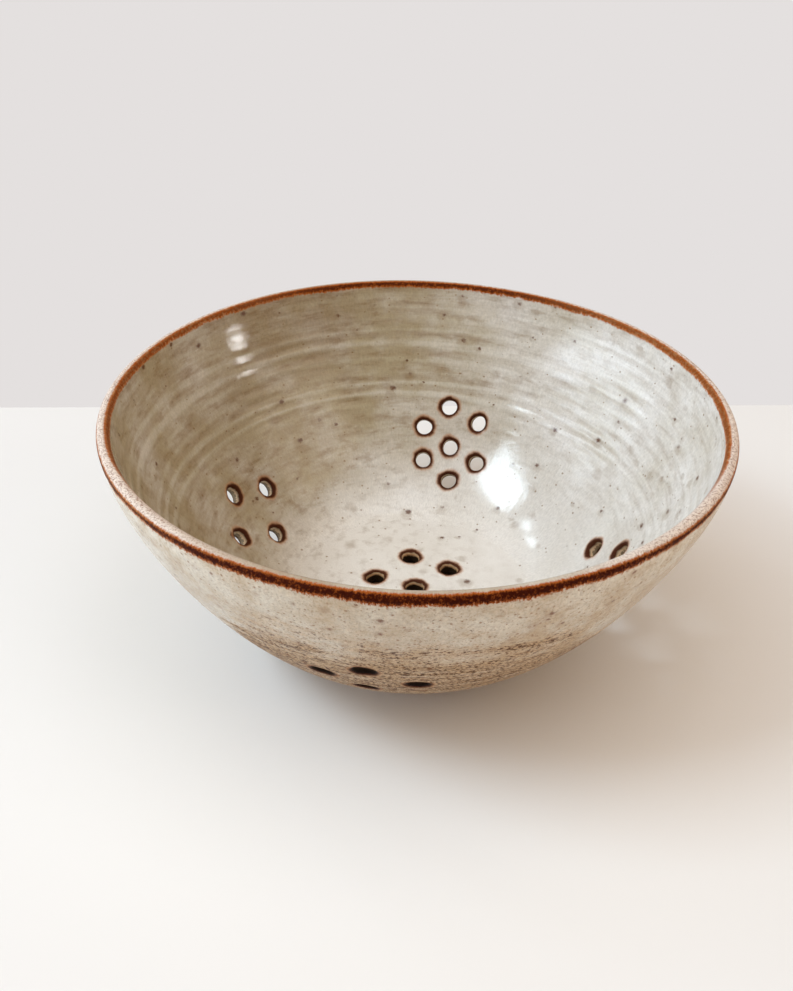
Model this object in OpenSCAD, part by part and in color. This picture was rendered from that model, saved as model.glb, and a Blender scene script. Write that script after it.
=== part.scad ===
// Hand-thrown stoneware berry bowl with drain holes.
// The clay is one fired piece. Glaze lies on it as fused skins: one inside, one outside,
// an iron-rich band over the lip, and a lining in every drain hole.
// Origin: centre of the foot's underside. +Z up, -Y towards the viewer, +X to the viewer's right.

/* [Bowl] */
// Outer diameter at the rim
rim_d = 178; // [150:1:220]
// Height from the table to the top of the lip
bowl_h = 76; // [66:1:90]
// Thickness of the floor and of the wall where it leaves the floor
floor_t = 5; // [4.5:0.1:6]
// Thickness of the wall at the lip
lip_t = 3.6; // [3:0.1:4.4]

/* [Foot ring] */
// Outer diameter of the foot ring
foot_d = 72; // [66:1:80]
// Height of the foot ring under the floor
foot_h = 4; // [3:0.1:6]
// Width of the foot ring's resting face and both its bevels
foot_w = 5.5; // [5:0.1:7]
// Bevel on both edges of the foot ring
foot_bevel = 0.8; // [0.5:0.1:1.2]

/* [Throwing rings] */
// Climb from one throwing ring to the next, along the inner wall
ring_pitch = 6; // [5:0.5:8]
// Height of a throwing ring's ridge over its groove
ring_depth = 0.4; // [0.2:0.05:0.6]

/* [Glaze] */
// Thickness of the glaze
glaze_t = 0.4; // [0.3:0.05:0.6]
// How far the iron-rich band reaches down the outside of the lip
band_outside = 3.6; // [2.5:0.1:5]
// How far the iron-rich band reaches down the inside of the lip
band_inside = 3; // [2:0.1:5]
// Bare clay between the foot ring and the edge of the outside glaze
bare_edge = 2.5; // [2:0.1:4]

/* [Drain holes] */
// Clear diameter of a glazed drain hole
hole_d = 5.4; // [4.8:0.1:6]
// Radius of the softened edge at each mouth of a hole
mouth_round = 1.2; // [1:0.05:1.5]
// Distance between neighbouring holes in the flower on the back wall
back_pitch = 12.2; // [11:0.1:13.5]
// Distance between neighbouring holes in the flower in the floor
floor_pitch = 14.2; // [12:0.1:14.8]
// Width of a diamond of four holes, centre to centre
diamond_w = 24.4; // [20:0.1:28]
// Height of a diamond of four holes, centre to centre
diamond_h = 19.4; // [17:0.1:22]

/* [Hidden] */
$fn = 96;

// Where the groups sit: turn about the bowl's axis from +X, and place up the wall
// as a share of the wall curve, from 0 at the foot ring to 1 at the lip.
back_turn = 77;
back_climb_share = 0.425;
left_turn = 158;
left_climb_share = 0.36;
front_turn = 260;
front_climb_share = 0.505;
right_turn = 350;
right_climb_share = 0.38;
// Turn of the two flowers about their own centre holes
back_flower_turn = 90;
floor_flower_turn = 95;
petals = 6;

// How far each hole sits from its true spot, because the potter set the groups out by eye:
// along the girth and up the wall, as shares of the group's spacing. A flower starts with
// its centre hole, a diamond with its top one.
back_slip_shares = [
    [0, -0.08], [0.2, 0.08], [0.12, 0.25], [0, 0.08], [-0.12, -0.16], [-0.12, -0.04], [0, -0.04],
];
left_slip_shares = [[0.16, -0.08], [0.08, -0.12], [-0.12, -0.16], [0, 0.28]];
front_slip_shares = [[0.04, 0.04], [0.08, 0], [-0.12, -0.03], [0.04, 0.12]];
right_slip_shares = [[0.2, -0.08], [0.08, -0.04]];
floor_slip_shares = [[0.08, 0], [0.08, 0.1], [0.1, -0.1], [0, 0], [0, 0], [0, 0], [0.04, 0.1]];

// Wall curve of the outside: a cubic with its ends at the foot ring and the lip.
// It leaves the foot ring level and reaches the lip almost upright.
low_pull_share = 0.34;
high_pull_r_share = 0.94;
high_pull_z_share = 0.67;
foot_r = foot_d / 2;
rim_r = rim_d / 2;
lip_r = lip_t / 2;
// The lip leans out a little, so its round starts slightly lower than its radius
lip_run = (rim_r - foot_r) * (1 - high_pull_r_share);
lip_rise = (bowl_h - lip_r - foot_h) * (1 - high_pull_z_share);
lip_lean = lip_run / norm([lip_run, lip_rise]);
lip_z = bowl_h - lip_r * (1 + lip_lean);
curve = [
    [foot_r, foot_h],
    [foot_r + (rim_r - foot_r) * low_pull_share, foot_h],
    [foot_r + (rim_r - foot_r) * high_pull_r_share, foot_h + (lip_z - foot_h) * high_pull_z_share],
    [rim_r, lip_z],
];

// Place, run and facing of the wall at share u of its curve.
// The facing is square to the wall and points into the bowl.
function place(u) = pow(1 - u, 3) * curve[0] + 3 * pow(1 - u, 2) * u * curve[1]
    + 3 * (1 - u) * u * u * curve[2] + pow(u, 3) * curve[3];
function run(u) = 3 * pow(1 - u, 2) * (curve[1] - curve[0])
    + 6 * (1 - u) * u * (curve[2] - curve[1]) + 3 * u * u * (curve[3] - curve[2]);
function facing(u) = let (d = run(u) / norm(run(u))) [-d[1], d[0]];
function wall(u) = floor_t + (lip_t - floor_t) * u;
function share_of(length, u) = length / norm(run(u));

// Throwing rings: ridges on the inner wall that fade in above the drain holes
// and fade out under the lip.
rings_start_share = 0.5;
rings_end_share = 0.96;
rings_fade_share = 0.1;
rings_length = norm(place(rings_end_share) - place(rings_start_share));
ring_count = max(1, floor(rings_length / ring_pitch));
function fade(u) = max(0, min(1, (u - rings_start_share) / rings_fade_share,
    (rings_end_share - u) / rings_fade_share));
function ring(u) = let (
    turn = 360 * ring_count * (u - rings_start_share) / (rings_end_share - rings_start_share))
    ring_depth * fade(u) * (1 - cos(turn)) / 2;

// Points along the wall between two shares, at a depth under the outer surface
// or under the inner surface, both measured square to the wall.
outer_steps = 12;
low_inner_steps = 8;
edge_steps = 2;
steps_per_ring = 4;
ring_steps = steps_per_ring * ring_count;
function steps(from, to, count) = [for (i = [0:count]) from + (to - from) * i / count];
function outer_points(shares, depth) = [for (u = shares) place(u) + depth * facing(u)];
function inner_points(shares, depth) = [for (u = shares)
    place(u) + (wall(u) + ring(u) - depth) * facing(u)];
function reversed(points) = [for (i = [len(points) - 1:-1:0]) points[i]];

// Round of the lip, from the outside to the inside, at a depth under its surface
lip_steps = 10;
lip_centre = place(1) + lip_r * facing(1);
function lip_round(depth) = [for (i = [0:lip_steps]) let (
    a = atan2(-facing(1)[1], -facing(1)[0]) + 180 * i / lip_steps)
    lip_centre + (lip_r - depth) * [cos(a), sin(a)]];

floor_z = foot_h + floor_t;
bare_share = share_of(bare_edge, 0);
band_outside_share = 1 - share_of(band_outside, 1);
band_inside_share = 1 - share_of(band_inside, 1);
outside_shares = steps(bare_share, band_outside_share, outer_steps);
inside_shares = concat(
    steps(0, rings_start_share, low_inner_steps),
    [for (u = steps(rings_start_share, rings_end_share, ring_steps))
        if (u > rings_start_share && u < band_inside_share) u],
    [band_inside_share]);
top_outside_shares = steps(band_outside_share, 1, edge_steps);
top_inside_shares = steps(band_inside_share, 1, edge_steps);

// Solid of the wall between the outer surface and the inner surface, both moved
// into the wall by the same depth: 0 is the glazed bowl, glaze_t is the bare clay.
// The floor's underside has no glaze, so it stays where it is.
module wall_blank(depth) {
    low_shares = steps(0, bare_share, edge_steps);
    rotate_extrude()
        polygon(concat(
            [[0, foot_h]],
            outer_points(low_shares, 0),
            outer_points(outside_shares, depth),
            outer_points(top_outside_shares, depth),
            lip_round(depth),
            reversed(inner_points(top_inside_shares, depth)),
            reversed(inner_points(inside_shares, depth)),
            [[0, floor_z - depth]]));
}

// Ring that the bowl stands on, with both edges bevelled
module foot_ring() {
    inner_r = foot_r - foot_w;
    root_z = foot_h + glaze_t;
    rotate_extrude()
        polygon([
            [inner_r, root_z],
            [inner_r, foot_bevel],
            [inner_r + foot_bevel, 0],
            [foot_r - foot_bevel, 0],
            [foot_r, foot_bevel],
            [foot_r, root_z],
        ]);
}

// Space that one drain hole takes out of a wall of the given thickness, centred on
// the wall's middle. Both mouths open by a quarter round. The depth widens the bore
// and tightens the rounds alike, so that depth 0 is the glazed hole and glaze_t the clay.
mouth_steps = 3;
cut_over = 1.5;
hole_r = hole_d / 2;
mouth_r = hole_r + mouth_round;
module hole_space(thickness, depth) {
    half = thickness / 2;
    quarter = [for (i = [0:mouth_steps]) let (a = 90 * i / mouth_steps)
        [mouth_r - (mouth_round - depth) * cos(a), half - mouth_round + (mouth_round - depth) * sin(a)]];
    upper = concat(quarter, [[mouth_r, half + cut_over], [0, half + cut_over]]);
    lower = [for (p = reversed(upper)) [p[0], -p[1]]];
    rotate_extrude($fn = 48)
        polygon(concat(lower, upper));
}

// One hole square to the wall, at a turn about the bowl's axis and a share of its curve
module wall_hole(turn, u, depth) {
    middle = place(u) + wall(u) / 2 * facing(u);
    rotate([0, 0, turn])
        translate([middle[0], 0, middle[1]])
            rotate([0, atan2(facing(u)[0], facing(u)[1]), 0])
                hole_space(wall(u), depth);
}

// A group of holes round one place on the wall. Each spot gives its distance
// along the wall's girth and its distance up the wall.
module wall_holes(turn, climb_share, spots, depth) {
    for (spot = spots) {
        u = climb_share + share_of(1, climb_share) * spot[1];
        wall_hole(turn + spot[0] / place(u)[0] * 180 / PI, u, depth);
    }
}

// A centre hole with petals round it, and a diamond of four, both set out by eye
function slipped(spots, spacing, shares) = [for (i = [0:len(spots) - 1])
    spots[i] + spacing * (i < len(shares) ? shares[i] : [0, 0])];
function flower(pitch, turn, shares) = slipped(concat([[0, 0]],
    [for (i = [0:petals - 1]) let (a = turn + 360 * i / petals) pitch * [cos(a), sin(a)]]),
    pitch, shares);
function diamond(shares) = slipped([
    [0, diamond_h / 2],
    [diamond_w / 2, 0],
    [0, -diamond_h / 2],
    [-diamond_w / 2, 0],
], diamond_w / 2, shares);

module back_holes(depth) {
    wall_holes(back_turn, back_climb_share, flower(back_pitch, back_flower_turn, back_slip_shares), depth);
}

module left_holes(depth) {
    wall_holes(left_turn, left_climb_share, diamond(left_slip_shares), depth);
}

module front_holes(depth) {
    wall_holes(front_turn, front_climb_share, diamond(front_slip_shares), depth);
}

module right_holes(depth) {
    wall_holes(right_turn, right_climb_share, diamond(right_slip_shares), depth);
}

module floor_holes(depth) {
    for (spot = flower(floor_pitch, floor_flower_turn, floor_slip_shares))
        translate([spot[0], spot[1], foot_h + floor_t / 2])
            hole_space(floor_t, depth);
}

module all_holes(depth) {
    back_holes(depth);
    left_holes(depth);
    front_holes(depth);
    right_holes(depth);
    floor_holes(depth);
}

// The fired clay: wall, floor, foot ring and bores
module clay_body() {
    color([0.62, 0.53, 0.42])
        difference() {
            union() {
                wall_blank(glaze_t);
                foot_ring();
            }
            all_holes(glaze_t);
        }
}

// Glossy grey-green glaze over the floor and the inner wall
module inside_glaze() {
    color([0.70, 0.69, 0.62])
        difference() {
            rotate_extrude()
                polygon(concat(
                    [[0, floor_z - glaze_t]],
                    inner_points(inside_shares, glaze_t),
                    reversed(inner_points(inside_shares, 0)),
                    [[0, floor_z]]));
            all_holes(glaze_t);
        }
}

// The same glaze on the outside, from the bare edge above the foot to the rim band
module outside_glaze() {
    color([0.76, 0.71, 0.62])
        difference() {
            rotate_extrude()
                polygon(concat(
                    outer_points(outside_shares, 0),
                    reversed(outer_points(outside_shares, glaze_t))));
            all_holes(glaze_t);
        }
}

// Iron-rich band where the glaze breaks rust-brown over the lip
module rim_glaze() {
    color([0.47, 0.24, 0.13])
        rotate_extrude()
            polygon(concat(
                outer_points(top_outside_shares, 0),
                lip_round(0),
                reversed(inner_points(top_inside_shares, 0)),
                inner_points(top_inside_shares, glaze_t),
                reversed(lip_round(glaze_t)),
                reversed(outer_points(top_outside_shares, glaze_t))));
}

// Glaze that lines one group of holes: what the glazed wall fills of the clay's
// bores, less the clear holes
module lining() {
    color([0.33, 0.19, 0.12])
        difference() {
            intersection() {
                wall_blank(0);
                children(0);
            }
            children(1);
        }
}

module floor_hole_glaze() {
    lining() {
        floor_holes(glaze_t);
        floor_holes(0);
    }
}

module back_hole_glaze() {
    lining() {
        back_holes(glaze_t);
        back_holes(0);
    }
}

module left_hole_glaze() {
    lining() {
        left_holes(glaze_t);
        left_holes(0);
    }
}

module front_hole_glaze() {
    lining() {
        front_holes(glaze_t);
        front_holes(0);
    }
}

module right_hole_glaze() {
    lining() {
        right_holes(glaze_t);
        right_holes(0);
    }
}

clay_body();
inside_glaze();
outside_glaze();
rim_glaze();
floor_hole_glaze();
back_hole_glaze();
left_hole_glaze();
front_hole_glaze();
right_hole_glaze();
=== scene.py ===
"""A hand-thrown stoneware berry bowl: its clay, its glazes, its drain holes, and a studio round it."""
import logging
import math
from collections.abc import Callable
from dataclasses import dataclass, replace
from enum import Enum
from functools import cached_property

import bmesh
import bpy
import numpy as np
from mathutils import Matrix, Vector


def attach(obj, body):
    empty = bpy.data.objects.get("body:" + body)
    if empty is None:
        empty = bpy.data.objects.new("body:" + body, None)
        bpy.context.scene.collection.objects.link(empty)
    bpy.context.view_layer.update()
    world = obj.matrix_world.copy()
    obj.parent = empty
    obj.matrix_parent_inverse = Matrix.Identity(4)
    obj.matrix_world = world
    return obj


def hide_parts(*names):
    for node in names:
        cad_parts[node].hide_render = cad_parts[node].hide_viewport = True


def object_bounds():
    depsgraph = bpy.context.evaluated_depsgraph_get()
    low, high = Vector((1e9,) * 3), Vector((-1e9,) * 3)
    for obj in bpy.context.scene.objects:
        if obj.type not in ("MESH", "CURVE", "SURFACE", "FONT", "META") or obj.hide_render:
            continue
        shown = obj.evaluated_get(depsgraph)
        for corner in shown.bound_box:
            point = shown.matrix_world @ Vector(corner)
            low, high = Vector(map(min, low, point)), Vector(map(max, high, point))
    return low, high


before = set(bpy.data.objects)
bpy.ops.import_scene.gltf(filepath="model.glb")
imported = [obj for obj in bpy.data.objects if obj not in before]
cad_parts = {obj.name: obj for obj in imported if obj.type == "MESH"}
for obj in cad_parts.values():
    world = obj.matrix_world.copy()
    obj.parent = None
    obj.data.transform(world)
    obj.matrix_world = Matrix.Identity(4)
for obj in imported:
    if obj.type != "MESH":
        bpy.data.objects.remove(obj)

CAD_LOW, CAD_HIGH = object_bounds()
LOG = logging.getLogger("berry_bowl")
MM = 0.001
BODY = "root"
DOUBLES_MM = 0.002
SOFT = {"interpolation_type": "SMOOTHSTEP"}
Tree = bpy.types.NodeTree
Socket = bpy.types.NodeSocket
# Where a fade starts and ends, and the values that it has there
Fade = tuple[float, float, float, float]


class Side(Enum):
    """The two glazed faces of the wall."""

    INSIDE = "inside"
    OUTSIDE = "outside"


class Motif(Enum):
    """The two ways in which the potter sets out a group of drain holes."""

    FLOWER = "flower"
    DIAMOND = "diamond"


def hex_to_linear(code: str) -> tuple[float, float, float, float]:
    """Turns an sRGB colour into the linear colour that shaders take.

    Args:
        code: Six hex digits.

    Returns:
        Linear red, green, blue, and an alpha of 1.
    """
    channels = [int(code[i:i + 2], 16) / 255 for i in (0, 2, 4)]
    linear = [c / 12.92 if c <= 0.04045 else ((c + 0.055) / 1.055) ** 2.4 for c in channels]
    return (*linear, 1.0)


# The thrown form


@dataclass(frozen=True)
class ThrownWall:
    """The wall's curve and thickness, in millimetres.

    A share u runs along the wall from 0 at the foot ring to 1 at the lip. A depth is
    measured square to the wall, from its outer face inwards.
    """

    rim_radius: float
    height: float
    foot_radius: float = 36.0
    foot_height: float = 4.0
    foot_width: float = 5.5
    foot_bevel: float = 0.8
    floor_thickness: float = 5.0
    lip_thickness: float = 3.6
    glaze: float = 0.4
    bare_edge: float = 2.5
    band_outside: float = 3.6
    band_inside: float = 3.0
    low_pull: float = 0.34
    high_pull_out: float = 0.94
    high_pull_up: float = 0.67
    table_size: int = 1600
    look_up_size: int = 4000

    @cached_property
    def curve(self) -> np.ndarray:
        """The four control points of the outer face's cubic."""
        width = self.rim_radius - self.foot_radius
        lip = self.lip_thickness / 2
        lean = np.array([width * (1 - self.high_pull_out),
                         (self.height - lip - self.foot_height) * (1 - self.high_pull_up)])
        lip_height = self.height - lip * (1 + lean[0] / np.hypot(*lean))
        rise = lip_height - self.foot_height
        return np.array([
            [self.foot_radius, self.foot_height],
            [self.foot_radius + width * self.low_pull, self.foot_height],
            [self.foot_radius + width * self.high_pull_out, self.foot_height + rise * self.high_pull_up],
            [self.rim_radius, lip_height],
        ])

    @property
    def floor_top(self) -> float:
        """Height of the glazed floor."""
        return self.foot_height + self.floor_thickness

    def place(self, u: np.ndarray) -> np.ndarray:
        """Radius and height of the outer face at each share."""
        v = np.asarray(u, float)[..., None]
        a, b, c, d = self.curve
        return (1 - v) ** 3 * a + 3 * (1 - v) ** 2 * v * b + 3 * (1 - v) * v * v * c + v ** 3 * d

    def run(self, u: np.ndarray) -> np.ndarray:
        """Change of place with the share, at each share."""
        v = np.asarray(u, float)[..., None]
        a, b, c, d = self.curve
        return 3 * (1 - v) ** 2 * (b - a) + 6 * (1 - v) * v * (c - b) + 3 * v * v * (d - c)

    def along(self, u: np.ndarray) -> np.ndarray:
        """Unit direction up the wall at each share."""
        run = self.run(u)
        return run / np.linalg.norm(run, axis=-1, keepdims=True)

    def facing(self, u: np.ndarray) -> np.ndarray:
        """Unit direction into the bowl, square to the wall, at each share."""
        along = self.along(u)
        return np.stack([-along[..., 1], along[..., 0]], -1)

    def thickness(self, u: np.ndarray) -> np.ndarray:
        """Thickness of the glazed wall at each share."""
        return self.floor_thickness + (self.lip_thickness - self.floor_thickness) * np.asarray(u, float)

    def speed(self, u: float) -> float:
        """Millimetres of wall for one whole share, at that share."""
        return float(np.linalg.norm(self.run(np.array(u))))

    @cached_property
    def shares(self) -> np.ndarray:
        """An even table of shares, for looking places up."""
        return np.linspace(0, 1, self.table_size)

    @cached_property
    def arcs(self) -> np.ndarray:
        """Length of wall from the foot ring to each share in the table."""
        steps = np.linalg.norm(np.diff(self.place(self.shares), axis=0), axis=1)
        return np.concatenate([[0.0], np.cumsum(steps)])

    def arc(self, u: np.ndarray) -> np.ndarray:
        """Length of wall from the foot ring to each share."""
        return np.interp(u, self.shares, self.arcs)

    def share_at(self, arc: np.ndarray) -> np.ndarray:
        """Share at each length of wall from the foot ring."""
        return np.interp(arc, self.arcs, self.shares)

    def face(self, u: np.ndarray, side: Side, under: float) -> np.ndarray:
        """Points on one face of the wall, or under it.

        Args:
            u: Shares along the wall.
            side: Which face.
            under: How far under that face, towards the clay.

        Returns:
            One row of radius and height for each share.
        """
        depth = under if side is Side.OUTSIDE else self.thickness(u) - under
        return self.place(u) + np.reshape(depth * np.ones(len(u)), (-1, 1)) * self.facing(u)

    def lip(self, steps: int, under: float) -> np.ndarray:
        """Points over the lip from the outside to the inside, at a depth under its round."""
        radius = self.lip_thickness / 2
        facing = self.facing(np.array(1.0))
        centre = self.place(np.array(1.0)) + radius * facing
        turn = math.atan2(-facing[1], -facing[0]) + np.linspace(0, math.pi, steps + 1)
        return centre + (radius - under) * np.stack([np.cos(turn), np.sin(turn)], -1)

    def locate(self, points: np.ndarray) -> tuple[np.ndarray, np.ndarray, np.ndarray]:
        """Finds where points lie in the wall.

        Args:
            points: One row of x, y and z for each point, in millimetres.

        Returns:
            Each point's share, its depth under the outer face, and how far it is past the
            end of the wall's curve, which is above 0 over the lip and below 0 in the floor.
        """
        flat = np.stack([np.hypot(points[:, 0], points[:, 1]), points[:, 2]], -1)
        u = np.empty(len(flat))
        table = self.place(self.shares)
        for i in range(0, len(flat), self.look_up_size):
            rows = slice(i, i + self.look_up_size)
            gap = ((flat[rows, None] - table[None]) ** 2).sum(-1)
            u[rows] = self.shares[gap.argmin(1)]
        for _ in range(2):
            offset = np.sum((flat - self.place(u)) * self.along(u), -1)
            u = np.clip(u + offset / np.linalg.norm(self.run(u), axis=-1), 0, 1)
        apart = flat - self.place(u)
        depth = np.sum(apart * self.facing(u), -1)
        past = np.sum(apart * self.along(u), -1)
        past = np.where((u > 0) & (u < 1), 0.0, past)
        return u, depth, past


@dataclass(frozen=True)
class DrainHole:
    """One drain hole, in millimetres, drilled square to the wall or the floor while the clay is soft."""

    wall: ThrownWall
    turn: float
    share: float
    spot: tuple[float, float]
    in_floor: bool
    number: int
    radius: float = 2.7
    mouth_round: float = 1.2
    lopsided: float = 0.045
    bore_share: float = 0.8
    at_edge: float = 0.01

    @property
    def mouth(self) -> float:
        """Radius at which the softened edge meets the wall's face."""
        return self.radius + self.mouth_round

    def out_of_round(self, bearing: np.ndarray) -> np.ndarray:
        """How much wider the hole is at each bearing, because it was drilled by hand."""
        phase = 2.4 * self.number
        oval = 0.7 * np.cos(2 * bearing + phase)
        uneven = 0.3 * np.cos(3 * bearing - 1.7 * phase)
        return 1 + self.lopsided * (oval + uneven)

    def to_bowl(self, local: np.ndarray) -> np.ndarray:
        """Moves points from the hole's own frame into the bowl.

        Args:
            local: Rows of girth, climb and height over the wall's middle, in millimetres.

        Returns:
            Rows of x, y and z, in millimetres.
        """
        bearing = np.arctan2(local[:, 1], local[:, 0])
        wide = self.out_of_round(bearing)[:, None] * local[:, :2]
        if self.in_floor:
            middle = self.wall.foot_height + self.wall.floor_thickness / 2
            return np.stack([self.spot[0] + wide[:, 0], self.spot[1] + wide[:, 1], middle + local[:, 2]], -1)
        u = self.share + wide[:, 1] / self.wall.speed(self.share)
        outer = self.wall.place(u)
        turn = self.turn + wide[:, 0] / self.wall.place(np.array(self.share))[0]
        depth = self.wall.thickness(u) / 2 + local[:, 2] * self.wall.thickness(u) / self.wall_here
        flat = outer + depth[:, None] * self.wall.facing(u)
        return np.stack([flat[:, 0] * np.cos(turn), flat[:, 0] * np.sin(turn), flat[:, 1]], -1)

    @property
    def wall_here(self) -> float:
        """Thickness that the hole goes through."""
        if self.in_floor:
            return self.wall.floor_thickness
        return float(self.wall.thickness(np.array(self.share)))

    def from_mouth(self, points: np.ndarray, u: np.ndarray, depth: np.ndarray) -> np.ndarray:
        """Distance of points from the edge of this hole's mouth, along the glaze.

        Args:
            points: Rows of x, y and z, in millimetres.
            u: The share of each point.
            depth: The depth of each point under the outer face.

        Returns:
            Millimetres, above 0 on the face of the wall and below 0 down in the hole.
        """
        if self.in_floor:
            girth = points[:, 0] - self.spot[0]
            climb = points[:, 1] - self.spot[1]
            middle = points[:, 2] - self.wall.foot_height - self.wall.floor_thickness / 2
        else:
            bearing = np.arctan2(points[:, 1], points[:, 0]) - self.turn
            bearing = (bearing + math.pi) % (2 * math.pi) - math.pi
            girth = bearing * self.wall.place(np.array(self.share))[0]
            climb = (u - self.share) * self.wall.speed(self.share)
            middle = (depth / self.wall.thickness(u) - 0.5) * self.wall_here
        reach = np.hypot(girth, climb) / self.out_of_round(np.arctan2(climb, girth))
        sunk = np.maximum(self.wall_here / 2 - np.abs(middle), 0) + np.maximum(self.mouth - reach, 0)
        if self.in_floor:
            sunk = self.wall_here / 2 - middle + np.maximum(self.mouth - reach, 0)
        return np.where(reach >= self.mouth - self.at_edge, reach - self.mouth, -self.bore_share * sunk)


@dataclass(frozen=True)
class HoleGroup:
    """A group of drain holes, in millimetres and degrees.

    Slips are how far each hole sits from its true spot, in girth and climb, as shares of the
    group's spacing, because the potter set them out by eye.
    """

    name: str
    motif: Motif
    slip_shares: tuple[tuple[float, float], ...]
    turn: float = 0.0
    share: float = 0.0
    pitch: float = 12.2
    flower_turn: float = 90.0
    width: float = 24.4
    height: float = 19.4
    petals: int = 6
    in_floor: bool = False
    first_number: int = 0

    @property
    def spacing(self) -> float:
        """Distance that the slips are shares of."""
        return self.pitch if self.motif is Motif.FLOWER else self.width / 2

    def spots(self) -> list[tuple[float, float]]:
        """Girth and climb of each hole's true spot from the group's middle."""
        if self.motif is Motif.DIAMOND:
            up, across = self.height / 2, self.width / 2
            return [(0.0, up), (across, 0.0), (0.0, -up), (-across, 0.0)]
        turns = [math.radians(self.flower_turn + 360 * i / self.petals) for i in range(self.petals)]
        return [(0.0, 0.0)] + [(self.pitch * math.cos(a), self.pitch * math.sin(a)) for a in turns]

    def holes(self, wall: ThrownWall) -> list[DrainHole]:
        """Every hole of the group, placed on the wall or in the floor."""
        made = []
        for i, true_spot in enumerate(self.spots()):
            slip = self.slip_shares[i] if i < len(self.slip_shares) else (0.0, 0.0)
            spot = (true_spot[0] + self.spacing * slip[0], true_spot[1] + self.spacing * slip[1])
            share, turn = 0.0, 0.0
            if not self.in_floor:
                share = self.share + spot[1] / wall.speed(self.share)
                turn = math.radians(self.turn) + spot[0] / float(wall.place(np.array(share))[0])
            made.append(DrainHole(wall, turn, share, spot, self.in_floor, self.first_number + i))
        return made


@dataclass(frozen=True)
class PottersHand:
    """What throwing by hand leaves in the form, in millimetres.

    Drifts and unevenness are shares of a ring. Oval, sway and dip grow up the wall with the power
    rim_bias. The dip lies at the front of the rim, and its width is in radians round the bowl.
    Narrowing draws the whole rim in, and is a multiple of the oval.
    """

    ring_pitch: float = 4.6
    ring_height: float = 0.17
    ring_sharpness: float = 1.7
    drift_round: float = 0.10
    drift_up: float = 0.16
    unevenness: float = 0.36
    rings_from: float = 38.0
    rings_to: float = 87.0
    rings_fade: float = 12.0
    oval: float = 0.3
    narrowing: float = 1.6
    sway: float = 0.4
    dip: float = 1.0
    dip_width: float = 0.6
    rim_bias: float = 1.5

    def ridge(self, arc: np.ndarray, turn: np.ndarray) -> np.ndarray:
        """Height of the spiral throwing ridge, from 0 in a groove to 1 on a crest."""
        climb = arc / self.ring_pitch - turn / (2 * math.pi)
        drift = (self.drift_round * np.sin(3 * turn + 0.35 * arc)
                 + self.drift_up * np.sin(0.21 * arc + 1.1))
        wave = 0.5 + 0.5 * np.cos(2 * math.pi * (climb + drift))
        swell = np.sin(0.37 * arc + 0.8 * np.sin(turn + 0.6))
        return wave ** self.ring_sharpness * (1 - self.unevenness + self.unevenness * swell)

    def fade(self, arc: np.ndarray) -> np.ndarray:
        """Where on the inner wall the throwing ridges stand, from 0 to 1."""
        low = np.clip((arc - self.rings_from) / self.rings_fade, 0, 1)
        high = np.clip((self.rings_to - arc) / (self.rings_fade / 2), 0, 1)
        return low * high

    def moved(self, wall: ThrownWall, points: np.ndarray) -> np.ndarray:
        """Gives true-turned points the ridges and the slightly swaying rim.

        Args:
            wall: The wall that the points belong to.
            points: Rows of x, y and z, in millimetres.

        Returns:
            The moved rows.
        """
        u, depth, _ = wall.locate(points)
        turn = np.arctan2(points[:, 1], points[:, 0])
        arc = wall.arc(u)
        inner = np.clip(2 * depth / wall.thickness(u) - 1, 0, 1)
        lift = self.ring_height * self.fade(arc) * self.ridge(arc, turn) * inner
        facing = wall.facing(u)
        outward = np.stack([np.cos(turn), np.sin(turn)], -1)
        moved = points.copy()
        moved[:, :2] += (lift * facing[:, 0])[:, None] * outward
        moved[:, 2] += lift * facing[:, 1]
        high = np.clip((points[:, 2] - wall.floor_top) / (wall.height - wall.floor_top), 0, 1)
        high = high ** self.rim_bias
        oval = self.oval * (np.cos(turn) - self.narrowing + 0.3 * np.cos(3 * turn + 1.9))
        dip = np.exp(-((turn + math.pi / 2) / self.dip_width) ** 2)
        sway = self.sway * (0.4 * np.cos(2 * turn + 0.9) + 0.4 * np.cos(3 * turn - 0.4)) - self.dip * dip
        moved[:, :2] += (high * oval)[:, None] * outward
        moved[:, 2] += high * sway
        return moved


# Modelling


def deselect_all() -> None:
    """Leaves object mode with nothing selected."""
    if bpy.context.object and bpy.context.object.mode != "OBJECT":
        bpy.ops.object.mode_set(mode="OBJECT")
    bpy.ops.object.select_all(action="DESELECT")


def select_only(piece: bpy.types.Object) -> None:
    """Selects one object and makes it the active one."""
    deselect_all()
    piece.select_set(True)
    bpy.context.view_layer.objects.active = piece


def face_outwards(piece: bpy.types.Object) -> None:
    """Turns every face of the piece's solids outwards."""
    select_only(piece)
    bpy.ops.object.mode_set(mode="EDIT")
    bpy.ops.mesh.select_all(action="SELECT")
    bpy.ops.mesh.normals_make_consistent(inside=False)
    bpy.ops.object.mode_set(mode="OBJECT")


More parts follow.
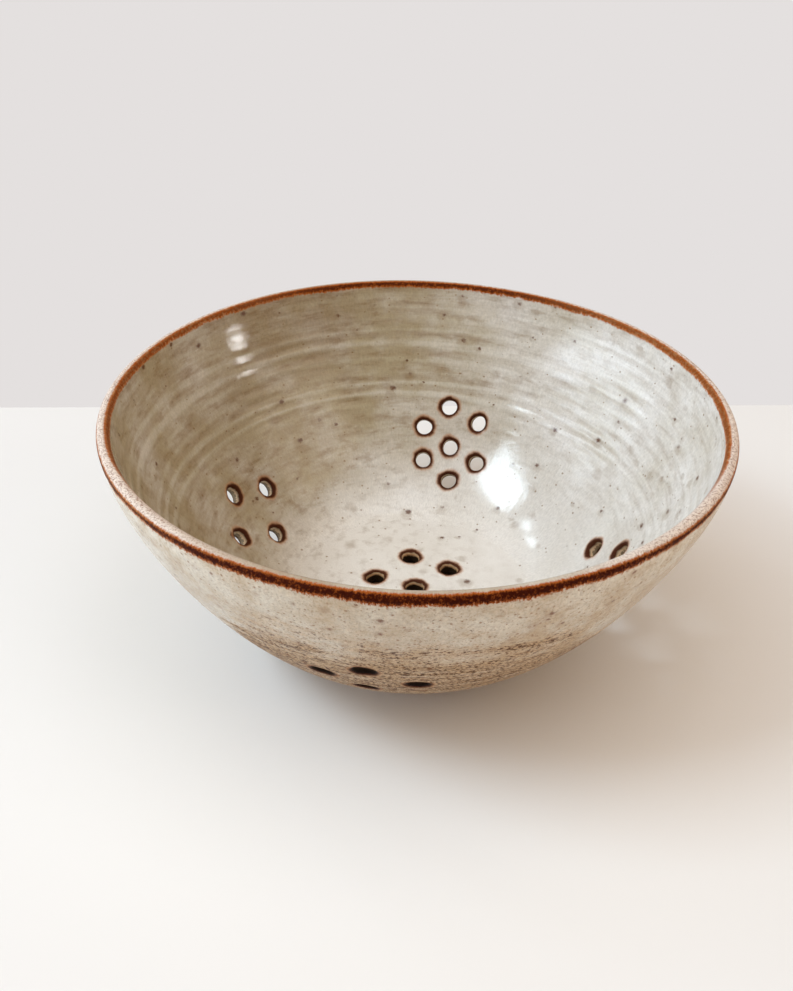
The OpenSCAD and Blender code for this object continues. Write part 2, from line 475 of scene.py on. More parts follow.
def turned(name: str, outline: np.ndarray, steps: int, closed: bool) -> bpy.types.Object:
    """Turns an outline round the bowl's axis into a closed solid.

    Args:
        name: The new piece's name.
        outline: Rows of radius and height, in millimetres.
        steps: Facets round the axis.
        closed: Whether the outline's last point joins its first. Otherwise both lie on the axis.

    Returns:
        The new piece.
    """
    deselect_all()
    bpy.ops.mesh.primitive_plane_add(size=MM, location=(0, 0, 0))
    piece = bpy.context.object
    piece.name = name
    piece.data.name = name
    bpy.ops.object.mode_set(mode="EDIT")
    bpy.ops.mesh.select_mode(type="VERT")
    bpy.ops.mesh.select_all(action="SELECT")
    bpy.ops.mesh.merge(type="CENTER")
    bpy.ops.transform.translate(value=(outline[0][0] * MM, 0, outline[0][1] * MM))
    for step in np.diff(outline, axis=0):
        bpy.ops.mesh.extrude_region_move(
            TRANSFORM_OT_translate={"value": (step[0] * MM, 0, step[1] * MM)})
    if closed:
        bpy.ops.mesh.select_all(action="DESELECT")
        shape = bmesh.from_edit_mesh(piece.data)
        for vert in shape.verts:
            vert.select_set(len(vert.link_edges) == 1)
        bpy.ops.mesh.edge_face_add()
    bpy.ops.mesh.select_all(action="SELECT")
    bpy.ops.mesh.spin(steps=steps, angle=2 * math.pi, center=(0, 0, 0), axis=(0, 0, 1))
    bpy.ops.mesh.select_all(action="SELECT")
    bpy.ops.mesh.remove_doubles(threshold=DOUBLES_MM * MM)
    bpy.ops.mesh.normals_make_consistent(inside=False)
    bpy.ops.object.mode_set(mode="OBJECT")
    return piece


def vertices(piece: bpy.types.Object) -> np.ndarray:
    """The piece's vertices as rows of x, y and z, in millimetres."""
    flat = np.empty(len(piece.data.vertices) * 3)
    piece.data.vertices.foreach_get("co", flat)
    return flat.reshape(-1, 3) / MM


def place_vertices(piece: bpy.types.Object, points: np.ndarray) -> None:
    """Puts the piece's vertices at rows of x, y and z, in millimetres."""
    piece.data.vertices.foreach_set("co", (points * MM).ravel())
    piece.data.update()


def join(pieces: list[bpy.types.Object], name: str) -> bpy.types.Object:
    """Joins several pieces into one object of separate solids."""
    select_only(pieces[0])
    for piece in pieces[1:]:
        piece.select_set(True)
    bpy.ops.object.join()
    joined = bpy.context.object
    joined.name = name
    joined.data.name = name
    return joined


def turned_at_holes(name: str, holes: list[DrainHole], outline: Callable[[DrainHole], np.ndarray],
                    steps: int, closed: bool) -> bpy.types.Object:
    """Turns a solid at every hole.

    Args:
        name: The name of the object that holds them all.
        holes: The holes.
        outline: Gives a solid's outline in its hole's own frame.
        steps: Facets round each solid.
        closed: Whether the outline closes on itself.

    Returns:
        The new object.
    """
    made = []
    for hole in holes:
        made.append(turned("solid", outline(hole), steps, closed))
        place_vertices(made[-1], hole.to_bowl(vertices(made[-1])))
    piece = join(made, name)
    face_outwards(piece)
    return piece


def refine_round_holes(piece: bpy.types.Object, holes: list[DrainHole], reach: float) -> None:
    """Halves the faces near the holes, so that their mouths sit in fine mesh.

    Args:
        piece: The piece, not yet drilled.
        holes: The holes.
        reach: How far from a hole's middle the mesh is halved, in millimetres.
    """
    middles = np.array([hole.to_bowl(np.zeros((1, 3)))[0] for hole in holes])
    select_only(piece)
    bpy.ops.object.mode_set(mode="EDIT")
    bpy.ops.mesh.select_mode(type="FACE")
    bpy.ops.mesh.select_all(action="DESELECT")
    shape = bmesh.from_edit_mesh(piece.data)
    centres = np.array([face.calc_center_median()[:] for face in shape.faces]) / MM
    near = np.zeros(len(centres), bool)
    for middle in middles:
        near |= np.linalg.norm(centres - middle, axis=1) < reach
    for face, chosen in zip(shape.faces, near):
        face.select_set(bool(chosen))
    bmesh.update_edit_mesh(piece.data)
    bpy.ops.mesh.subdivide(number_cuts=1)
    bpy.ops.object.mode_set(mode="OBJECT")


def smooth(piece: bpy.types.Object, crease: float) -> None:
    """Shades the piece smooth, with edges sharper than the crease angle in degrees left sharp."""
    select_only(piece)
    bpy.ops.object.shade_smooth_by_angle(angle=math.radians(crease))


@dataclass(frozen=True)
class BowlForm:
    """The whole form: wall, holes and the potter's hand, and what the finishes read from it."""

    wall: ThrownWall
    hand: PottersHand
    groups: tuple[HoleGroup, ...]
    far_from_mouth: float = 30.0

    @cached_property
    def holes(self) -> list[DrainHole]:
        """Every drain hole of the bowl."""
        return [hole for group in self.groups for hole in group.holes(self.wall)]

    def drill(self, piece: bpy.types.Object, radius: float, steps: int, over: float = 2.0) -> None:
        """Drills every hole through the piece.

        Args:
            piece: The piece, still true-turned.
            radius: Radius of the drill, in millimetres.
            steps: Facets round it.
            over: How far it stands out of both faces of the wall.
        """
        def outline(hole: DrainHole) -> np.ndarray:
            half = hole.wall_here / 2 + over
            return np.array([[0, -half], [radius, -half], [radius, half], [0, half]])

        drills = turned_at_holes("drills", self.holes, outline, steps, closed=False)
        select_only(piece)
        cut = piece.modifiers.new("drain holes", "BOOLEAN")
        cut.object = drills
        cut.operation = "DIFFERENCE"
        cut.solver = "EXACT"
        bpy.ops.object.modifier_apply(modifier=cut.name)
        bpy.data.objects.remove(drills)

    def survey(self, piece: bpy.types.Object) -> None:
        """Stores on the piece what its finish follows, while it is still true-turned.

        from_lip is the distance from the lip's crest along the glaze, above 0 outside the bowl
        and below 0 inside it. from_mouth is the distance from the nearest hole's mouth, ridge the
        height of the throwing ridge, and lay the girth at the rim's radius with the climb up the
        wall. All are in millimetres, but ridge, which runs from 0 to 1.
        """
        points = vertices(piece)
        wall = self.wall
        u, depth, past = wall.locate(points)
        turn = np.arctan2(points[:, 1], points[:, 0])
        arc = wall.arc(u)
        half_lip = wall.lip_thickness / 2
        quarter = half_lip * math.pi / 2
        over = np.arctan2(np.maximum(past, 0), np.abs(depth - half_lip)) * half_lip
        from_lip = np.where(past > 0, quarter - over, wall.arcs[-1] - arc + quarter)
        from_lip = np.where(depth < wall.thickness(u) / 2, from_lip, -from_lip)
        from_mouth = np.full(len(points), self.far_from_mouth)
        for hole in self.holes:
            away = hole.from_mouth(points, u, depth)
            from_mouth = np.where(np.abs(away) < np.abs(from_mouth), away, from_mouth)
        ridge = self.hand.ridge(arc, turn) * self.hand.fade(arc)
        reach = wall.rim_radius
        inwards = np.minimum(np.hypot(points[:, 0], points[:, 1]) / wall.foot_radius, 1.0)
        lay = np.stack([reach * inwards * np.cos(turn), reach * inwards * np.sin(turn), arc], -1)
        made = piece.data.attributes
        for name, values in (("from_lip", from_lip), ("from_mouth", from_mouth), ("ridge", ridge)):
            made.new(name, "FLOAT", "POINT").data.foreach_set("value", values.astype(np.float32))
        made.new("lay", "FLOAT_VECTOR", "POINT").data.foreach_set("vector", lay.astype(np.float32).ravel())

    def finish_shape(self, piece: bpy.types.Object, crease: float = 40.0) -> None:
        """Surveys a true-turned piece, gives it the potter's hand, and shades it smooth."""
        self.survey(piece)
        place_vertices(piece, self.hand.moved(self.wall, vertices(piece)))
        smooth(piece, crease)


# Finishes


def add(tree: Tree, kind: str, inputs: tuple | dict = (), out: int | str = 0,
        **settings: object) -> Socket | None:
    """Adds a node with its settings and links.

    Args:
        tree: The node tree.
        kind: The node's type, as Blender names it after the word ShaderNode.
        inputs: What the inputs take, in order or by name or number: a value, six hex digits of a
            colour, or a socket to link.
        out: Which of the node's outputs is wanted.
        **settings: The node's own settings.

    Returns:
        That output, or None where the node has no output.
    """
    node = tree.nodes.new("ShaderNode" + kind)
    for key, value in settings.items():
        setattr(node, key, value)
    taken = inputs if isinstance(inputs, dict) else dict(enumerate(inputs))
    for key, value in taken.items():
        if isinstance(value, Socket):
            tree.links.new(value, node.inputs[key])
        else:
            node.inputs[key].default_value = hex_to_linear(value) if isinstance(value, str) else value
    return node.outputs[out] if node.outputs else None


def painted(tree: Tree, ground: str | Socket, *coats: tuple[Socket, str | Socket]) -> Socket:
    """Paints coats over a ground.

    Args:
        tree: The material's tree.
        ground: The colour beneath.
        *coats: Each coat's mask, from 0 to 1, and its colour, the lowest coat first.

    Returns:
        The colour that shows.
    """
    for mask, tint in coats:
        ground = add(tree, "Mix", {0: mask, 6: ground, 7: tint}, out=2, data_type="RGBA")
    return ground


def in_mm(tree: Tree) -> Socket:
    """Object coordinates in millimetres."""
    metres = add(tree, "TexCoord", out="Object")
    return add(tree, "VectorMath", {0: metres, "Scale": 1 / MM}, operation="SCALE")


def along_wall(tree: Tree, girth_mm: float = 1.0, climb_mm: float = 1.0) -> Socket:
    """The girth and climb attribute, with one unit for each pattern length."""
    lay = add(tree, "Attribute", out="Vector", attribute_name="lay")
    return add(tree, "VectorMath", (lay, (1 / girth_mm, 1 / girth_mm, 1 / climb_mm)), operation="MULTIPLY")


def blank(name: str) -> tuple[bpy.types.Material, Tree]:
    """A new material and its node tree."""
    material = bpy.data.materials.new(name)
    material.use_nodes = True
    return material, material.node_tree


@dataclass(frozen=True)
class Patches:
    """Patches of random shape.

    A size is in millimetres. A pair of sizes is girth and climb, and such patches follow the
    wall. The cut is the part of the pattern's range, which is near 0.5, that shows, and shown
    holds the values that the ends of the cut get.
    """

    size: float | tuple[float, float]
    detail: float
    ragged: float
    cut: tuple[float, float] = (0.0, 1.0)
    shown: tuple[float, float] = (0.0, 1.0)

    def pattern(self, tree: Tree) -> Socket:
        """The whole pattern."""
        follows = isinstance(self.size, tuple)
        place = along_wall(tree, *self.size) if follows else in_mm(tree)
        return add(tree, "TexNoise", {"Vector": place, "Scale": 1.0 if follows else 1 / self.size,
                                      "Detail": self.detail, "Roughness": self.ragged})

    def lay(self, tree: Tree) -> Socket:
        """The patches."""
        return add(tree, "MapRange", (self.pattern(tree), *self.cut, *self.shown))


@dataclass(frozen=True)
class Specks:
    """Round iron specks of mixed sizes.

    They lie a cell apart, but only a share of the cells holds one. Cell and size are in
    millimetres. A speck's radius is from smallest to largest times the size, and its solid core
    is the share core of that radius. Its edge is pushed about by up to ragged times the size.
    """

    cell: float
    size: float
    share: float
    strength: float
    smallest: float = 0.3
    largest: float = 1.25
    core: float = 0.45
    ragged: float = 0.9
    ragged_pitch: float = 1.5

    def lay(self, tree: Tree, place: Socket) -> Socket:
        """How much of a speck there is at each place, from 0 to 1."""
        edge = add(tree, "TexNoise", {"Vector": place, "Scale": self.ragged_pitch / self.size, "Detail": 2.0},
                   out="Color")
        pushed = add(tree, "VectorMath", {0: edge, "Scale": self.ragged * self.size}, operation="SCALE")
        moved = add(tree, "VectorMath", (place, pushed), operation="ADD")
        away = add(tree, "TexVoronoi", {"Vector": moved, "Scale": 1 / self.cell}, out="Distance")
        chance = add(tree, "SeparateColor", (away.node.outputs["Color"],))
        in_cells = self.size / self.cell
        empty = 1 - self.share
        wide = add(tree, "MapRange",
                   (chance, empty, 1.0, self.smallest * in_cells, self.largest * in_cells))
        core = add(tree, "Math", (wide, self.core), operation="MULTIPLY")
        dot = add(tree, "MapRange", (away, core, wide, self.strength, 0.0))
        some = add(tree, "Math", (chance, empty), operation="GREATER_THAN")
        return add(tree, "Math", (dot, some), operation="MULTIPLY")


@dataclass(frozen=True)
class LipRust:
    """Rust down both flanks of the lip, and between them at the bowl's sides a dry crest painted pale: a
    painted glint of light caught by the gritty lip.

    Each flank has an orange fringe round a dark core. Starts, ends and edges are in millimetres
    from the lip's crest, and fades at the sides and the front in millimetres from the bowl's
    middle. The outer rust starts lower at the sides, and the inner rust fades out at the front.
    A value named aside is what the sides have more.
    """

    deep: str = "3a0e00"
    edge: str = "a3541f"
    tan: str = "c08a5c"
    # pale colour of the painted glint on the lip's crest
    painted_glint: str = "e7d9ce"
    grit: str = "7d4a2c"
    outer_start: float = 0.2
    outer_end: float = 3.6
    outer_jag: float = 0.4
    inner_start: float = 0.5
    inner_end: float = 3.1
    inner_jag: float = 0.35
    end_jag: float = 0.9
    inner_end_share: float = 0.7
    side_drop: float = 1.2
    front_drop: float = 1.6
    inner_depth: float = 0.9
    inner_depth_aside: float = -0.4
    # how much painted glint the crest has, and how much more at the sides
    painted_glint_share: float = 0.2
    painted_glint_share_aside: float = 0.75
    at_sides: Fade = (22.0, 78.0, 0.0, 1.0)
    at_front: Fade = (-30.0, -70.0, 0.0, 1.0)
    fringe_edge: Fade = (-0.3, 0.35, 0.0, 1.0)
    core_edge: Fade = (0.3, 1.0, 0.0, 1.0)
    painted_glint_edge: Fade = (-0.35, 0.2, 0.0, 1.0)
    jag_range: Fade = (0.68, 1.32, -1.0, 1.0)
    runs: Patches = Patches((0.7, 2.6), 4.0, 0.8)
    speckle: Patches = Patches(0.7, 3.0, 0.8)
    swell: Patches = Patches((9.0, 60.0), 3.0, 0.6, (0.3, 0.7), (-0.5, 0.5))
    streaks: Patches = Patches(0.9, 3.0, 0.75, (0.34, 0.48), (0.5, 1.0))
    tan_spots: Patches = Patches(0.9, 3.0, 0.75, (0.46, 0.56), (0.0, 0.75))
    grit_spots: Patches = Patches(0.5, 3.0, 0.75, (0.48, 0.6), (0.0, 0.8))

    def flank(self, tree: Tree, at: Socket, start: Socket, end: Socket) -> tuple[Socket, Socket]:
        """The rust on one flank of the lip.

        Args:
            tree: The material's tree.
            at: Distance from the lip's crest down this flank, in millimetres.
            start: Where the rust begins.
            end: Where it ends.

        Returns:
            How much of its orange fringe and of its dark core there is, from 0 to 1.
        """
        after = add(tree, "Math", (at, start), operation="SUBTRACT")
        before = add(tree, "Math", (end, at), operation="SUBTRACT")
        within = add(tree, "Math", (after, before), operation="MINIMUM")
        return (add(tree, "MapRange", (within, *self.fringe_edge), **SOFT),
                add(tree, "MapRange", (within, *self.core_edge), **SOFT))

    def paint(self, tree: Tree, ground: Socket) -> tuple[Socket, Socket]:
        """Paints the rust, and the painted glint on the crest.

        Args:
            tree: The material's tree.
            ground: The colour beneath.

        Returns:
            The colour with the rust and the painted glint, and how much of both there is, from 0 to 1.
        """
        outwards = add(tree, "Attribute", out="Fac", attribute_name="from_lip")
        inwards = add(tree, "Math", (outwards, -1.0), operation="MULTIPLY")
        girth = along_wall(tree)
        across = add(tree, "SeparateXYZ", (girth,))
        aside = add(tree, "Math", (across,), operation="ABSOLUTE")
        sides = add(tree, "MapRange", (aside, *self.at_sides), **SOFT)
        ahead = add(tree, "SeparateXYZ", (girth,), out=1)
        front = add(tree, "MapRange", (ahead, *self.at_front), **SOFT)
        behind = add(tree, "Math", (1.0, front), operation="SUBTRACT")

        mixed = add(tree, "Math", (self.runs.pattern(tree), self.speckle.pattern(tree)), operation="ADD")
        jag = add(tree, "MapRange", (mixed, *self.jag_range))
        uneven = add(tree, "Math", (jag, self.end_jag, self.swell.lay(tree)), operation="MULTIPLY_ADD")
        outer_start = add(tree, "Math", (sides, self.side_drop, self.outer_start), operation="MULTIPLY_ADD")
        outer_start = add(tree, "Math", (jag, self.outer_jag, outer_start), operation="MULTIPLY_ADD")
        outer_end = add(tree, "Math", (uneven, self.outer_end), operation="ADD")
        inner_start = add(tree, "Math", (front, self.front_drop, self.inner_start), operation="MULTIPLY_ADD")
        inner_start = add(tree, "Math", (jag, self.inner_jag, inner_start), operation="MULTIPLY_ADD")
        inner_end = add(tree, "Math", (uneven, self.inner_end_share, self.inner_end),
                        operation="MULTIPLY_ADD")
        outer_fringe, outer_core = self.flank(tree, outwards, outer_start, outer_end)
        inner_fringe, inner_core = self.flank(tree, inwards, inner_start, inner_end)

        inner_fringe = add(tree, "Math", (inner_fringe, behind), operation="MULTIPLY")
        fringe = add(tree, "Math", (outer_fringe, inner_fringe), operation="MAXIMUM")
        deep = add(tree, "Math", (sides, self.inner_depth_aside, self.inner_depth), operation="MULTIPLY_ADD")
        for share in (behind, inner_core):
            deep = add(tree, "Math", (deep, share), operation="MULTIPLY")
        core = add(tree, "Math", (outer_core, deep), operation="MAXIMUM")
        core = add(tree, "Math", (core, self.streaks.lay(tree)), operation="MULTIPLY")

        # painted glint: between the two rusts, mostly at the sides, the crest is painted pale for light
        # caught by the gritty lip, and it is shaded dull like the rust
        to_outer = add(tree, "Math", (outer_start, outwards), operation="SUBTRACT")
        to_inner = add(tree, "Math", (inner_start, inwards), operation="SUBTRACT")
        between = add(tree, "Math", (to_outer, to_inner), operation="MINIMUM")
        painted_glint = add(tree, "Math", (sides, self.painted_glint_share_aside, self.painted_glint_share), operation="MULTIPLY_ADD")
        dry = add(tree, "MapRange", (between, *self.painted_glint_edge), **SOFT)
        dry = add(tree, "Math", (dry, painted_glint), operation="MULTIPLY")
        gritty = add(tree, "Math", (dry, self.grit_spots.lay(tree)), operation="MULTIPLY")
        tan = add(tree, "Math", (self.tan_spots.lay(tree), sides), operation="MULTIPLY")
        edge = painted(tree, self.edge, (tan, self.tan))
        colour = painted(tree, ground, (fringe, edge), (core, self.deep), (dry, self.painted_glint),
                         (gritty, self.grit))
        return colour, add(tree, "Math", (fringe, dry), operation="MAXIMUM")


@dataclass(frozen=True)
class MouthRust:
    """A dark ring with a soft halo at every hole's mouth, and the bore's own colour, with painted shade deep
    in it.

    Edges are in millimetres from the mouth, and below 0 down in the hole. In the wall's holes the bore's
    colour starts deeper by wall_lift.
    """

    halo: str = "b0774a"
    ring: str = "421c0a"
    bore: str = "dcc4a2"
    floor_bore: str = "c49a70"
    # near black painted shade, for the parts of the bores that lie in shadow
    underside: str = "1d120b"
    halo_edge: Fade = (-0.2, 1.1, 0.8, 0.0)
    ring_edge: Fade = (-0.5, 0.46, 0.97, 0.0)
    bore_edge: Fade = (-1.85, -1.05, 0.92, 0.0)
    unlit_edge: Fade = (-1.1, -0.4, 0.97, 0.0)
    deep_edge: Fade = (-2.5, -1.8, 0.97, 0.0)
    wall_lift: float = 0.4
    on_floor: Fade = (0.5, 2.5, 1.0, 0.0)
    on_outside: Fade = (-3.0, 3.0, 0.0, 1.0)
    at_front: Fade = (-35.0, -55.0, 0.62, 1.0)
    wander: Patches = Patches(2.6, 2.0, 0.5, (0.3, 0.7), (-0.3, 0.3))

    def paint(self, tree: Tree, ground: Socket) -> tuple[Socket, Socket]:
        """Paints the rust.

        Args:
            tree: The material's tree.
            ground: The colour beneath.

        Returns:
            The colour with the rust, and how rusty it is, from 0 to 1.
        """
        mouth = add(tree, "Attribute", out="Fac", attribute_name="from_mouth")
        at = add(tree, "Math", (mouth, self.wander.lay(tree)), operation="ADD")
        floor = add(tree, "MapRange", (add(tree, "SeparateXYZ", (along_wall(tree),), out=2), *self.on_floor))
        wall = add(tree, "Math", (1.0, floor), operation="SUBTRACT")
        halo = add(tree, "MapRange", (at, *self.halo_edge), **SOFT)
        ring = add(tree, "MapRange", (at, *self.ring_edge), **SOFT)
        sunk = add(tree, "Math", (wall, self.wall_lift, at), operation="MULTIPLY_ADD")
        bore = add(tree, "MapRange", (sunk, *self.bore_edge), **SOFT)
        floor_bore = add(tree, "Math", (bore, floor), operation="MULTIPLY")
        lip = add(tree, "Attribute", out="Fac", attribute_name="from_lip")
        outside = add(tree, "MapRange", (lip, *self.on_outside))
        ahead = add(tree, "SeparateXYZ", (along_wall(tree),), out=1)
        front = add(tree, "MapRange", (ahead, *self.at_front))
        # painted shade: the outer half of every bore is painted near black, fully at the front and weaker
        # elsewhere
        unlit = add(tree, "MapRange", (at, *self.unlit_edge), **SOFT)
        for share in (outside, front):
            unlit = add(tree, "Math", (unlit, share), operation="MULTIPLY")
        # painted shade: deep in the floor's holes, over the dark space under the bowl, the bore is painted
        # near black
        deep = add(tree, "MapRange", (at, *self.deep_edge), **SOFT)
        deep = add(tree, "Math", (deep, floor), operation="MULTIPLY")
        below = add(tree, "Math", (unlit, deep), operation="MAXIMUM")
        colour = painted(tree, ground, (halo, self.halo), (ring, self.ring), (bore, self.bore),
                         (floor_bore, self.floor_bore), (below, self.underside))
        return colour, ring


@dataclass(frozen=True)
class Glaze:
    """Glossy stoneware glaze, dipped and fired in reduction.

    It is pale where it lies thick and khaki brown where it is thin, and it breaks rust-brown
    over the lip and over every hole's edge. Iron from the clay bleeds through it as dark
    specks. The surface is glass: a low roughness and an IOR of 1.5, with the faint dimpling
    of a glaze that has run. Where it is rusty it is dry and dull.
    """

    name: str
    thick: str = "e3e0dc"
    thin: str = "ada083"
    drawn: str = "856640"
    speck: str = "3c1e0c"
    ior: float = 1.5
    roughness: float = 0.12
    rust_ior: float = 1.12
    rust_roughness: float = 0.46
    coarse: Specks = Specks(6.2, 0.95, 0.42, 0.85)
    fine: Specks = Specks(2.1, 0.45, 0.42, 0.75)
    halo_size: float = 2.2
    halo_strength: float = 0.3
    stretch: float = 1.3
    lip: LipRust = LipRust()
    mouths: MouthRust = MouthRust()
    dimples: Patches = Patches(2.4, 2.0, 0.5)
    dimple_strength: float = 0.25
    dimple_depth_mm: float = 0.14
    clay_grit: Patches = Patches(0.6, 3.0, 0.7)
    clay_grit_depth_mm: float = 0.34
    clay_grit_everywhere: float = 0.05

    def build(self) -> bpy.types.Material:
        """Makes the material."""
        material, tree = blank(self.name)
        glass = tree.nodes["Principled BSDF"]
        colour, rusty = self.rust(tree, self.specks(tree, self.ground(tree)))
        relief = self.relief(tree, rusty)
        glass.inputs["IOR"].default_value = self.ior
        glass.inputs["Roughness"].default_value = self.roughness
        tree.links.new(colour, glass.inputs["Base Color"])
        tree.links.new(relief, glass.inputs["Normal"])
        dry = add(tree, "BsdfPrincipled", {"Base Color": colour, "Roughness": self.rust_roughness,
                                           "IOR": self.rust_ior, "Normal": relief})
        both = add(tree, "MixShader", (rusty, glass.outputs[0], dry))
        tree.links.new(both, tree.nodes["Material Output"].inputs["Surface"])
        return material

    def ground(self, tree: Tree) -> Socket:
        """The glaze's own colour, before its specks and its rust, which each glaze has for itself."""
        raise NotImplementedError

    def specks(self, tree: Tree, ground: Socket) -> Socket:
        """Iron specks: a few large ones with a soft halo, and many fine ones."""
        place = add(tree, "VectorMath", (in_mm(tree), (1.0, 1.0, self.stretch)), operation="MULTIPLY")
        halos = replace(self.coarse, size=self.halo_size * self.coarse.size, strength=self.halo_strength)
        return painted(tree, ground, (halos.lay(tree, place), self.drawn),
                       (self.fine.lay(tree, place), self.drawn), (self.coarse.lay(tree, place), self.speck))

    def rust(self, tree: Tree, ground: Socket) -> tuple[Socket, Socket]:
        """The rust-brown break over the lip and round the holes.

        Args:
            tree: The material's tree.
            ground: The colour of the whole glaze.

        Returns:
            The colour with its rust, and how rusty it is, from 0 to 1.
        """
        colour, at_lip = self.lip.paint(tree, ground)
        colour, at_mouth = self.mouths.paint(tree, colour)
        return colour, add(tree, "Math", (at_lip, at_mouth), operation="MAXIMUM")

    def relief(self, tree: Tree, rusty: Socket) -> Socket:
        """Faint dimples all over, and the clay's grit felt through the thin rusty glaze."""
        soft = add(tree, "Bump", {"Height": self.dimples.pattern(tree), "Strength": self.dimple_strength,
                                  "Distance": self.dimple_depth_mm * MM})
        felt = add(tree, "Math", (rusty, self.clay_grit_everywhere), operation="MAXIMUM")
        return add(tree, "Bump", {"Height": self.clay_grit.pattern(tree), "Strength": felt,
                                  "Distance": self.clay_grit_depth_mm * MM, "Normal": soft})


@dataclass(frozen=True)
class InsideGlaze(Glaze):
    """The glaze inside the bowl: browner in the grooves of the upper wall, browner towards the left as
    painted shade, and pale where it pooled, which is partly a painted reflection.

    Fades across the bowl are in millimetres to the right of its axis, and fades up the wall in
    millimetres from the foot ring.
    """

    name: str = "inside glaze"
    # glaze pooled pale on the floor, painted paler still as a painted reflection of the light from above
    pooled_and_sheen: str = "efedea"
    drawn: str = "80633f"
    speck: str = "562809"
    coarse: Specks = Specks(6.2, 1.2, 0.38, 0.85)
    fine: Specks = Specks(2.1, 0.45, 0.36, 0.75)
    pool_and_sheen_up: Fade = (4.0, 22.0, 1.0, 0.0)
    brown_up: Fade = (16.0, 62.0, 0.2, 1.0)
    # painted shade: the inner wall is browner towards the left, and its brown reaches lower down there
    painted_shade_fall_across: Fade = (15.0, -45.0, 0.0, 24.0)
    painted_shade_across: Fade = (75.0, -30.0, -0.34, 0.46)
    shaded_across: Fade = (-48.0, -82.0, 0.18, 0.0)
    drained_in_painted_shade: Fade = (-0.34, 0.2, 0.25, 1.0)
    drained_in_grooves: Fade = (0.45, 0.95, 0.0, 0.3)
    pale_on_ridges: Fade = (0.3, 0.95, 0.0, 0.2)
    brown_patch_at: float = -42.0
    brown_patch_apart: Fade = (30.0, 8.0, 0.0, 0.34)
    brown_patch_up: Fade = (48.0, 74.0, 0.0, 1.0)
    clouds: Patches = Patches(18.0, 4.0, 0.56, (0.34, 0.68), (0.0, 0.6))
    smudges: Patches = Patches((9.0, 2.8), 4.0, 0.58, (0.5, 0.74), (0.0, 0.5))
    streaks: Patches = Patches((24.0, 3.0), 3.0, 0.6, (0.36, 0.6), (0.35, 1.0))
    wheel_marks: Patches = Patches((15.0, 1.6), 4.0, 0.7, (0.46, 0.66), (0.0, 0.2))
    worn_ridges: Patches = Patches((14.0, 5.0), 3.0, 0.6, (0.36, 0.6), (0.3, 1.0))
    grain: Patches = Patches((0.8, 1.28), 3.0, 0.72, (0.3, 0.7), (0.84, 1.08))

    def ground(self, tree: Tree) -> Socket:
        """Soft clouds, painted shade towards the left, a pale floor that is partly a painted reflection,
        brown smudges drawn round by the wheel, pale ridges and a fine grain.
        """
        across = add(tree, "SeparateXYZ", (in_mm(tree),))
        climb = add(tree, "SeparateXYZ", (along_wall(tree),), out=2)
        streaks = self.streaks.lay(tree)
        # painted shade: browner towards the left, where the inner wall faces away from the window light
        painted_shade_left = add(tree, "MapRange", (across, *self.painted_shade_across), **SOFT)
        # painted shade: the brown reaches lower down the wall on the left
        lower = add(tree, "MapRange", (across, *self.painted_shade_fall_across), **SOFT)
        lower = add(tree, "Math", (climb, lower), operation="ADD")
        high = add(tree, "MapRange", (lower, *self.brown_up), **SOFT)
        brown = add(tree, "MapRange", (across, *self.shaded_across), **SOFT)
        for share in (painted_shade_left, self.clouds.lay(tree)):
            brown = add(tree, "Math", (brown, share), operation="ADD")
        brown = add(tree, "Math", (brown, high), operation="MULTIPLY", use_clamp=True)
        # pooled glaze on the floor together with a painted reflection of the light from above
        pool_and_sheen = add(tree, "MapRange", (climb, *self.pool_and_sheen_up), **SOFT)
        colour = painted(tree, painted(tree, self.thick, (pool_and_sheen, self.pooled_and_sheen)), (brown, self.thin))

        ridge = add(tree, "Attribute", out="Fac", attribute_name="ridge")
        grooves = add(tree, "Math", (1.0, ridge), operation="SUBTRACT")
        smudged = add(tree, "Math", (high, painted_shade_left), operation="ADD")
        smudged = add(tree, "Math", (smudged, self.smudges.lay(tree)), operation="MULTIPLY")
        smudged = add(tree, "Math", (smudged, grooves), operation="MULTIPLY", use_clamp=True)
        drained = add(tree, "MapRange", (grooves, *self.drained_in_grooves), **SOFT)
        for share in (high, add(tree, "MapRange", (painted_shade_left, *self.drained_in_painted_shade)), streaks):
            drained = add(tree, "Math", (drained, share), operation="MULTIPLY")
        wheeled = add(tree, "Math", (self.wheel_marks.lay(tree), high), operation="MULTIPLY")
        # a browner streaky patch high on the wall at the back left
        apart = add(tree, "Math", (across, -self.brown_patch_at), operation="ADD")
        apart = add(tree, "Math", (apart,), operation="ABSOLUTE")
        brown_patch = add(tree, "MapRange", (apart, *self.brown_patch_apart), **SOFT)
        for share in (add(tree, "MapRange", (climb, *self.brown_patch_up), **SOFT), streaks):
            brown_patch = add(tree, "Math", (brown_patch, share), operation="MULTIPLY")
        crest = add(tree, "MapRange", (ridge, *self.pale_on_ridges), **SOFT)
        crest = add(tree, "Math", (crest, self.worn_ridges.lay(tree)), operation="MULTIPLY")
        colour = painted(tree, colour, (smudged, self.drawn), (drained, self.drawn), (wheeled, self.drawn),
                         (brown_patch, self.drawn), (crest, self.thick))
        return add(tree, "VectorMath", {0: colour, "Scale": self.grain.lay(tree)}, operation="SCALE")


